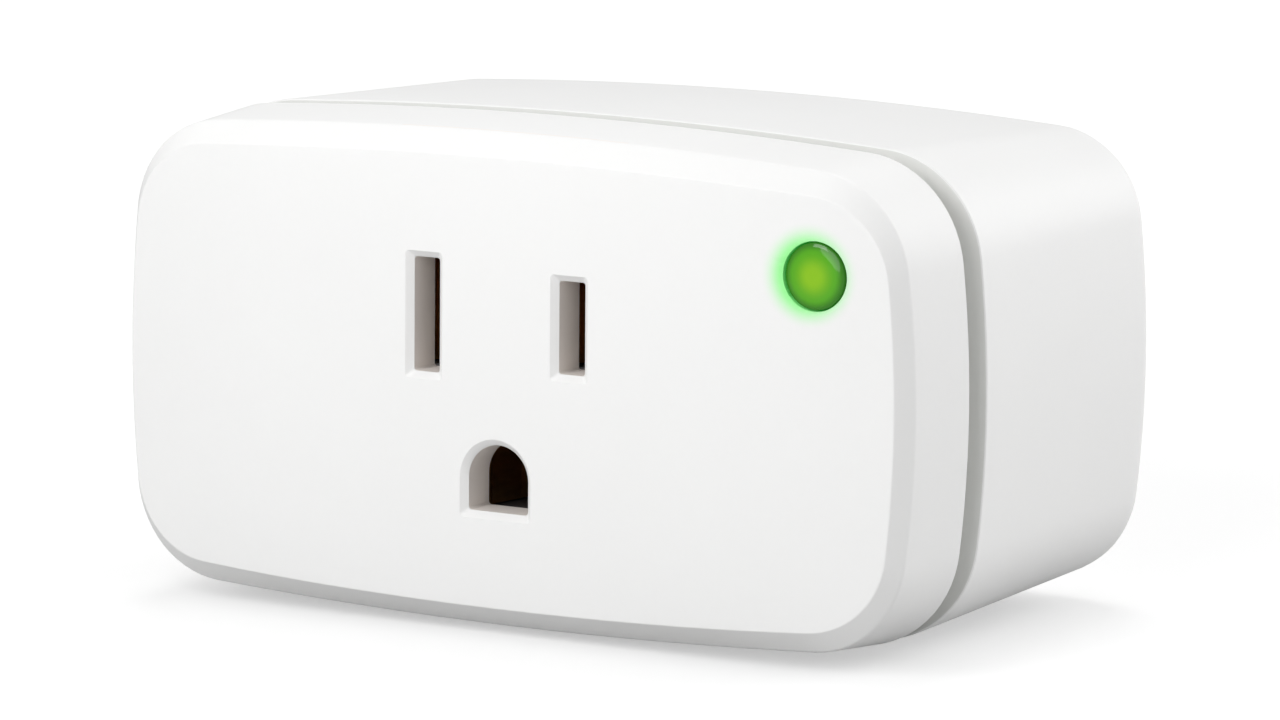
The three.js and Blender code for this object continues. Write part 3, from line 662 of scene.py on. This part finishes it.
def make_case_screw(number, x, z):
    """Pan head with a cross recess on a pointed shank."""
    low, high = (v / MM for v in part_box(f"case_screw_{number}"))
    middle = (x, 0, z)
    screw = new_rod(f"cover_screw_{number}", x, z, SHANK_R, low.y + SHANK_POINT, -SCREW_SINK,
                    sides=32)
    edit(screw)
    pick_front()
    extrude(-SHANK_POINT)
    resize(POINT_SHARE, 1, POINT_SHARE, middle)
    pick_back()
    extrude(STEP)
    resize(HEAD_SHARE, 1, HEAD_SHARE, middle)
    for rise, shrink in HEAD_STEPS:
        extrude(rise)
        resize(shrink, 1, shrink, middle)
    done_editing()
    for size_x, size_z in ((RECESS_L, RECESS_W), (RECESS_W, RECESS_L)):
        arm = new_box("recess_arm", (x, high.y, z), (size_x, RECESS_DEPTH, size_z))
        edit(arm)
        pick_front()
        resize(RECESS_TAPER, 1, RECESS_TAPER, middle)
        done_editing()
        carve(screw, arm)
    soften(screw, SCREW_EDGE, angle=40)
    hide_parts(f"case_screw_{number}")
    return finish_piece(screw, "case", "steel")


# ---------------------------------------------------------------- materials

def new_group(name, inputs, outputs):
    """Empty shader node group with named sockets."""
    group = bpy.data.node_groups.new(name, "ShaderNodeTree")
    for label, kind, value in inputs:
        socket = group.interface.new_socket(name=label, in_out="INPUT", socket_type=kind)
        socket.default_value = value
    for label, kind in outputs:
        group.interface.new_socket(name=label, in_out="OUTPUT", socket_type=kind)
    start = group.nodes.new("NodeGroupInput")
    end = group.nodes.new("NodeGroupOutput")
    return group, start, end


def math_node(tree, operation, a, b, clamp=False):
    node = tree.nodes.new("ShaderNodeMath")
    node.operation = operation
    node.use_clamp = clamp
    for socket, value in zip(node.inputs, (a, b)):
        if isinstance(value, bpy.types.NodeSocket):
            tree.links.new(value, socket)
        else:
            socket.default_value = value
    return node.outputs[0]


def object_place(tree, scale=(1, 1, 1), offset=(0, 0, 0), turn=0):
    """Object coordinates, scaled, turned about X and moved."""
    place = tree.nodes.new("ShaderNodeTexCoord")
    mapping = tree.nodes.new("ShaderNodeMapping")
    mapping.inputs["Location"].default_value = offset
    mapping.inputs["Rotation"].default_value = (turn, 0, 0)
    mapping.inputs["Scale"].default_value = scale
    tree.links.new(place.outputs["Object"], mapping.inputs["Vector"])
    return mapping.outputs["Vector"]


def noise(tree, vector, scale, detail=4, roughness=0.55):
    node = tree.nodes.new("ShaderNodeTexNoise")
    tree.links.new(vector, node.inputs["Vector"])
    if isinstance(scale, bpy.types.NodeSocket):
        tree.links.new(scale, node.inputs["Scale"])
    else:
        node.inputs["Scale"].default_value = scale
    node.inputs["Detail"].default_value = detail
    node.inputs["Roughness"].default_value = roughness
    return node.outputs["Fac"]


def make_grain_group():
    """Fine moulded or cast grain with slow tone changes and slightly worn edges."""
    group, start, end = new_group(
        "surface_grain",
        (("Grain Scale", "NodeSocketFloat", 2500), ("Roughness", "NodeSocketFloat", 0.4),
         ("Spread", "NodeSocketFloat", 0.1)),
        (("Tone", "NodeSocketFloat"), ("Roughness", "NodeSocketFloat"),
         ("Height", "NodeSocketFloat"), ("Edge", "NodeSocketFloat")),
    )
    place = object_place(group)
    fine = noise(group, place, start.outputs["Grain Scale"], detail=3)
    slow = noise(group, place, 60, detail=5)
    tone = math_node(group, "ADD", math_node(group, "MULTIPLY", fine, 0.35),
                     math_node(group, "MULTIPLY", slow, 0.65))
    away = math_node(group, "SUBTRACT", tone, 0.5)
    spread = math_node(group, "MULTIPLY", away, start.outputs["Spread"])
    rough = math_node(group, "ADD", start.outputs["Roughness"], spread, clamp=True)
    geometry = group.nodes.new("ShaderNodeNewGeometry")
    edge = group.nodes.new("ShaderNodeMapRange")
    edge.inputs["From Min"].default_value = 0.52
    edge.inputs["From Max"].default_value = 0.62
    group.links.new(geometry.outputs["Pointiness"], edge.inputs["Value"])
    group.links.new(tone, end.inputs["Tone"])
    group.links.new(rough, end.inputs["Roughness"])
    group.links.new(fine, end.inputs["Height"])
    group.links.new(edge.outputs[0], end.inputs["Edge"])
    return group


def make_glow_group():
    """Falls off round the button, from 1 inside to 0 at the reach; may lie to the left of it."""
    group, start, end = new_group(
        "button_glow",
        (("Aside", "NodeSocketFloat", 0), ("Inner", "NodeSocketFloat", HALO_INNER),
         ("Reach", "NodeSocketFloat", HALO_REACH)),
        (("Glow", "NodeSocketFloat"),),
    )
    x, z = BUTTON
    face = FRONT + face_roll(x, z)
    place = object_place(group, scale=(1 / MM, 1 / MM, 1 / MM), offset=(-x, -face, -z))
    shift = group.nodes.new("ShaderNodeCombineXYZ")
    group.links.new(start.outputs["Aside"], shift.inputs["X"])
    moved = group.nodes.new("ShaderNodeVectorMath")
    moved.operation = "ADD"
    group.links.new(place, moved.inputs[0])
    group.links.new(shift.outputs[0], moved.inputs[1])
    length = group.nodes.new("ShaderNodeVectorMath")
    length.operation = "LENGTH"
    group.links.new(moved.outputs[0], length.inputs[0])
    fall = group.nodes.new("ShaderNodeMapRange")
    fall.interpolation_type = "SMOOTHSTEP"
    group.links.new(length.outputs["Value"], fall.inputs["Value"])
    group.links.new(start.outputs["Inner"], fall.inputs["From Min"])
    group.links.new(start.outputs["Reach"], fall.inputs["From Max"])
    fall.inputs["To Min"].default_value = 1
    fall.inputs["To Max"].default_value = 0
    group.links.new(math_node(group, "POWER", fall.outputs[0], 1.6), end.inputs["Glow"])
    return group


def make_brushed_group():
    """Drawn or plated metal: streaks along Y, tone and roughness that follow them."""
    group, start, end = new_group(
        "drawn_metal",
        (("Roughness", "NodeSocketFloat", 0.25), ("Spread", "NodeSocketFloat", 0.15)),
        (("Tone", "NodeSocketFloat"), ("Roughness", "NodeSocketFloat"),
         ("Height", "NodeSocketFloat")),
    )
    streak = noise(group, object_place(group, scale=(1, 0.06, 1)), 3500, detail=4)
    cloud = noise(group, object_place(group), 350, detail=5)
    tone = math_node(group, "ADD", math_node(group, "MULTIPLY", streak, 0.5),
                     math_node(group, "MULTIPLY", cloud, 0.5))
    away = math_node(group, "SUBTRACT", tone, 0.5)
    spread = math_node(group, "MULTIPLY", away, start.outputs["Spread"])
    rough = math_node(group, "ADD", start.outputs["Roughness"], spread, clamp=True)
    group.links.new(tone, end.inputs["Tone"])
    group.links.new(rough, end.inputs["Roughness"])
    group.links.new(streak, end.inputs["Height"])
    return group


def new_material(name):
    material = bpy.data.materials.new(name)
    material.use_nodes = True
    tree = material.node_tree
    return material, tree, tree.nodes["Principled BSDF"]


def place_group(tree, group, **values):
    """The group as a node; an underscore in a keyword stands for the space in an input's name."""
    node = tree.nodes.new("ShaderNodeGroup")
    node.node_tree = group
    for key, value in values.items():
        node.inputs[key.replace("_", " ")].default_value = value
    return node


def mix_colours(tree, factor, dark, light):
    """Mixes two colours, each given as numbers or as another node's output."""
    node = tree.nodes.new("ShaderNodeMix")
    node.data_type = "RGBA"
    tree.links.new(factor, node.inputs["Factor"])
    for socket, value in ((node.inputs[6], dark), (node.inputs[7], light)):
        if isinstance(value, bpy.types.NodeSocket):
            tree.links.new(value, socket)
        else:
            socket.default_value = (*value, 1)
    return node.outputs[2]


def add_bump(tree, shader, height, strength, distance=0.00002):
    bump = tree.nodes.new("ShaderNodeBump")
    bump.inputs["Strength"].default_value = strength
    bump.inputs["Distance"].default_value = distance
    tree.links.new(height, bump.inputs["Height"])
    tree.links.new(bump.outputs["Normal"], shader.inputs["Normal"])


def cover_surface(tree, shader, body, colour, bump):
    """Colour, roughness and fine relief of a surface whose grain comes from the body's node."""
    tree.links.new(colour, shader.inputs["Base Color"])
    tree.links.new(body.outputs["Roughness"], shader.inputs["Roughness"])
    add_bump(tree, shader, body.outputs["Height"], bump)


def moulded(name, dark, light, roughness, grain=2500, bump=0.15, edge=None):
    """Moulded plastic or resin with grain, tone changes and edges of their own colour."""
    material, tree, shader = new_material(name)
    body = place_group(tree, grain_group, Grain_Scale=grain, Roughness=roughness, Spread=0.1)
    colour = mix_colours(tree, body.outputs["Tone"], dark, light)
    if edge:
        colour = mix_colours(tree, body.outputs["Edge"], colour, edge)
    cover_surface(tree, shader, body, colour, bump)
    return material


def metal(name, dark, light, roughness):
    """Drawn strip, wire or plated metal."""
    material, tree, shader = new_material(name)
    body = place_group(tree, drawn_group, Roughness=roughness, Spread=0.15)
    colour = mix_colours(tree, body.outputs["Tone"], dark, light)
    shader.inputs["Metallic"].default_value = 1
    cover_surface(tree, shader, body, colour, 0.1)
    return material


def make_case_white():
    """Satin white moulding; light from the button spreads into it round the hole."""
    material, tree, shader = new_material("case_white")
    body = place_group(tree, grain_group, Grain_Scale=2200, Roughness=0.5, Spread=0.12)
    halo = place_group(tree, glow_group, Aside=HALO_ASIDE, Inner=HALO_INNER, Reach=HALO_REACH)
    glow = halo.outputs["Glow"]
    plain = mix_colours(tree, body.outputs["Tone"], (0.80, 0.80, 0.795), (0.84, 0.84, 0.835))
    colour = mix_colours(tree, glow, plain, (0.3, 0.78, 0.28))
    light = mix_colours(tree, glow, (0, 0, 0), (0, 0.12, 0.01))
    tree.links.new(light, shader.inputs["Emission Color"])
    shader.inputs["Emission Strength"].default_value = 1
    shader.inputs["Specular IOR Level"].default_value = 0.35
    cover_surface(tree, shader, body, colour, 0.06)
    return material


def make_button_green():
    """Green light guide: dark green rim, yellow-green middle."""
    material, tree, shader = new_material("button_green")
    body = place_group(tree, grain_group, Grain_Scale=900, Roughness=0.09, Spread=0.05)
    middle = place_group(tree, glow_group, Aside=0, Inner=0.5, Reach=2.1)
    rim = place_group(tree, glow_group, Aside=0, Inner=1.75, Reach=2.6)
    lens = mix_colours(tree, middle.outputs["Glow"], (0.055, 0.25, 0.006), (0.16, 0.34, 0.007))
    colour = mix_colours(tree, rim.outputs["Glow"], (0.02, 0.12, 0.006), lens)
    tree.links.new(colour, shader.inputs["Emission Color"])
    shader.inputs["Emission Strength"].default_value = 0.5
    shader.inputs["Specular IOR Level"].default_value = 0.35
    cover_surface(tree, shader, body, colour, 0.1)
    return material


def make_circuit_board():
    """Solder mask over copper tracks."""
    material, tree, shader = new_material("solder_mask")
    body = place_group(tree, grain_group, Grain_Scale=1800, Roughness=0.35, Spread=0.15)
    tracks = tree.nodes.new("ShaderNodeTexBrick")
    tree.links.new(object_place(tree, scale=(420, 420, 420), turn=pi / 2), tracks.inputs["Vector"])
    tracks.inputs["Mortar Size"].default_value = 0.035
    tracks.inputs["Scale"].default_value = 1
    mask = mix_colours(tree, body.outputs["Tone"], (0.01, 0.13, 0.05), (0.02, 0.2, 0.08))
    colour = mix_colours(tree, tracks.outputs["Fac"], mask, (0.05, 0.33, 0.13))
    tree.links.new(colour, shader.inputs["Base Color"])
    tree.links.new(body.outputs["Roughness"], shader.inputs["Roughness"])
    shader.inputs["Coat Weight"].default_value = 0.4
    add_bump(tree, shader, tracks.outputs["Fac"], 0.3)
    return material


def make_floor_white():
    """Studio sweep: looks white, its shadows stay pale, and it throws little light back up."""
    material, tree, shader = new_material("floor_white")
    body = place_group(tree, grain_group, Grain_Scale=300, Roughness=0.6, Spread=0.05)
    colour = mix_colours(tree, body.outputs["Tone"], (0.54, 0.54, 0.54), (0.56, 0.56, 0.56))
    tree.links.new(colour, shader.inputs["Base Color"])
    tree.links.new(body.outputs["Roughness"], shader.inputs["Roughness"])
    shader.inputs["Emission Color"].default_value = (1, 1, 1, 1)
    seen = tree.nodes.new("ShaderNodeLightPath").outputs["Is Camera Ray"]
    lift = math_node(tree, "MULTIPLY", seen, FLOOR_LIFT)
    tree.links.new(lift, shader.inputs["Emission Strength"])
    return material


def give_finishes(piece, *names):
    piece.data.materials.clear()
    for name in names:
        piece.data.materials.append(finishes[name])


def finish_piece(piece, body, slot):
    """Gives the piece its record slot and material, and lets it ride on its body."""
    if not piece.data.materials:
        give_finishes(piece, slot)
    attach(piece, body)
    return piece


def finish_parts():
    """Every part that stays as it is gets the finish of its slot."""
    for row in frame["record"]["subparts"]:
        give_finishes(frame["nodes"][row["node"]], row["material_slot"])


# ---------------------------------------------------------------- stage

# Angles in degrees; distance and target in millimetres
CAMERA_YAW = 31.424
CAMERA_PITCH = 8.736
CAMERA_ROLL = 0.458
CAMERA_DISTANCE = 599.648
CAMERA_LENS = 222.64
CAMERA_TARGET = (1.516, -22.5, -4.976)


def make_camera():
    """Long lens, a little above the case and to its right."""
    yaw, pitch = radians(CAMERA_YAW), radians(CAMERA_PITCH)
    away = Vector((sin(yaw) * cos(pitch), -cos(yaw) * cos(pitch), sin(pitch)))
    data = bpy.data.cameras.new("camera")
    data.lens = CAMERA_LENS
    data.sensor_width = 36
    camera = bpy.data.objects.new("camera", data)
    camera.location = (Vector(CAMERA_TARGET) + away * CAMERA_DISTANCE) * MM
    aim = away.to_track_quat("Z", "Y").to_matrix().to_4x4()
    camera.rotation_euler = aim.to_euler()
    camera.rotation_euler.rotate_axis("Z", radians(CAMERA_ROLL))
    bpy.context.collection.objects.link(camera)
    bpy.context.scene.camera = camera


def make_floor():
    """Pale ground under the lowest point of the part."""
    fresh()
    bpy.ops.mesh.primitive_plane_add(size=FLOOR_SIZE, location=(0, 0, cad_box[0][2]))
    floor = bpy.context.object
    floor.name = "floor"
    floor.data.materials.append(make_floor_white())


def place_light(data, place):
    """Hangs a light at the place, aimed at the middle of the case."""
    light = bpy.data.objects.new(data.name, data)
    light.location = place
    towards = Vector(place) - Vector((0, -DEPTH / 2, MID_Z)) * MM
    light.rotation_euler = towards.to_track_quat("Z", "Y").to_euler()
    bpy.context.collection.objects.link(light)


def make_far_light(name, place, strength, spread):
    """Even light from one side of the studio."""
    data = bpy.data.lights.new(name, "SUN")
    data.energy = strength
    data.angle = radians(spread)
    place_light(data, place)


def make_soft_box(name, place, watts, size):
    """Near lamp behind a square diffuser, so its light fades down the face."""
    data = bpy.data.lights.new(name, "AREA")
    data.energy = watts
    data.size = size
    place_light(data, place)


def make_lights():
    """Even studio light, with a front light, one behind at the right, one above and a near lamp."""
    world = bpy.data.worlds.new("studio")
    world.use_nodes = True
    background = world.node_tree.nodes["Background"]
    background.inputs["Color"].default_value = (1, 1, 1, 1)
    background.inputs["Strength"].default_value = WORLD_LIGHT
    bpy.context.scene.world = world
    make_far_light("front_light", (-0.05, -1, 0.33), 1.05, 40)
    make_far_light("right_light", (0.61, 0.79, 0.27), 2.0, 50)
    make_far_light("high_light", (-0.2, 0.4, 1.0), 0.64, 25)
    make_soft_box("front_box", (-0.015, -0.13, 0.075), 0.043, 0.05)
    bpy.context.scene.view_settings.view_transform = "Standard"


grain_group = make_grain_group()
glow_group = make_glow_group()
drawn_group = make_brushed_group()
finishes = {
    "case_plastic": make_case_white(),
    # Painted shade: darker grey in the groove between cover and housing.
    "groove": moulded("painted_groove_shade", (0.66, 0.665, 0.645), (0.71, 0.715, 0.695), 0.5),
    # Painted shade: warmer, slightly darker white on the walls inside the slots.
    "slot_walls": moulded("slot_wall_painted_shade", (0.81, 0.76, 0.72), (0.85, 0.80, 0.76), 0.5),
    "label_film": moulded("label_grey", (0.5, 0.51, 0.52), (0.6, 0.61, 0.62), 0.45,
                          grain=1200),
    "button_plastic": make_button_green(),
    "black_plastic": moulded("black_moulding", (0.012, 0.012, 0.013), (0.035, 0.035, 0.037),
                             0.5, edge=(0.08, 0.08, 0.085)),
    "circuit_board": make_circuit_board(),
    "brass": metal("brass_strip", (0.42, 0.24, 0.09), (0.66, 0.42, 0.18), 0.32),
    "nickel_plate": metal("nickel_plating", (0.52, 0.50, 0.47), (0.72, 0.70, 0.67), 0.2),
    "steel": metal("zinc_steel", (0.36, 0.37, 0.39), (0.55, 0.56, 0.58), 0.33),
    "copper": metal("enamelled_copper", (0.5, 0.16, 0.06), (0.72, 0.3, 0.12), 0.3),
    "relay_plastic": moulded("relay_blue", (0.03, 0.09, 0.27), (0.05, 0.14, 0.36), 0.35),
    "white_plastic": moulded("off_white", (0.68, 0.66, 0.6), (0.78, 0.76, 0.7), 0.5),
    "yellow_plastic": moulded("yellow_case", (0.6, 0.38, 0.05), (0.72, 0.5, 0.08), 0.4),
    "blue_coating": moulded("blue_epoxy", (0.02, 0.1, 0.3), (0.04, 0.17, 0.42), 0.3,
                            grain=700, bump=0.4),
    "capacitor_sleeve": moulded("black_sleeve", (0.015, 0.017, 0.022), (0.03, 0.033, 0.042), 0.28),
}
finish_parts()
make_front_cover()
make_rear_housing()
make_rating_label()
make_button_cap()
make_blade("neutral_blade", "wide_blade")
make_blade("line_blade", "narrow_blade")
make_ground_pin()
for number, (x, z) in enumerate(SCREWS, 1):
    make_case_screw(number, x, z)
make_camera()
make_floor()
make_lights()
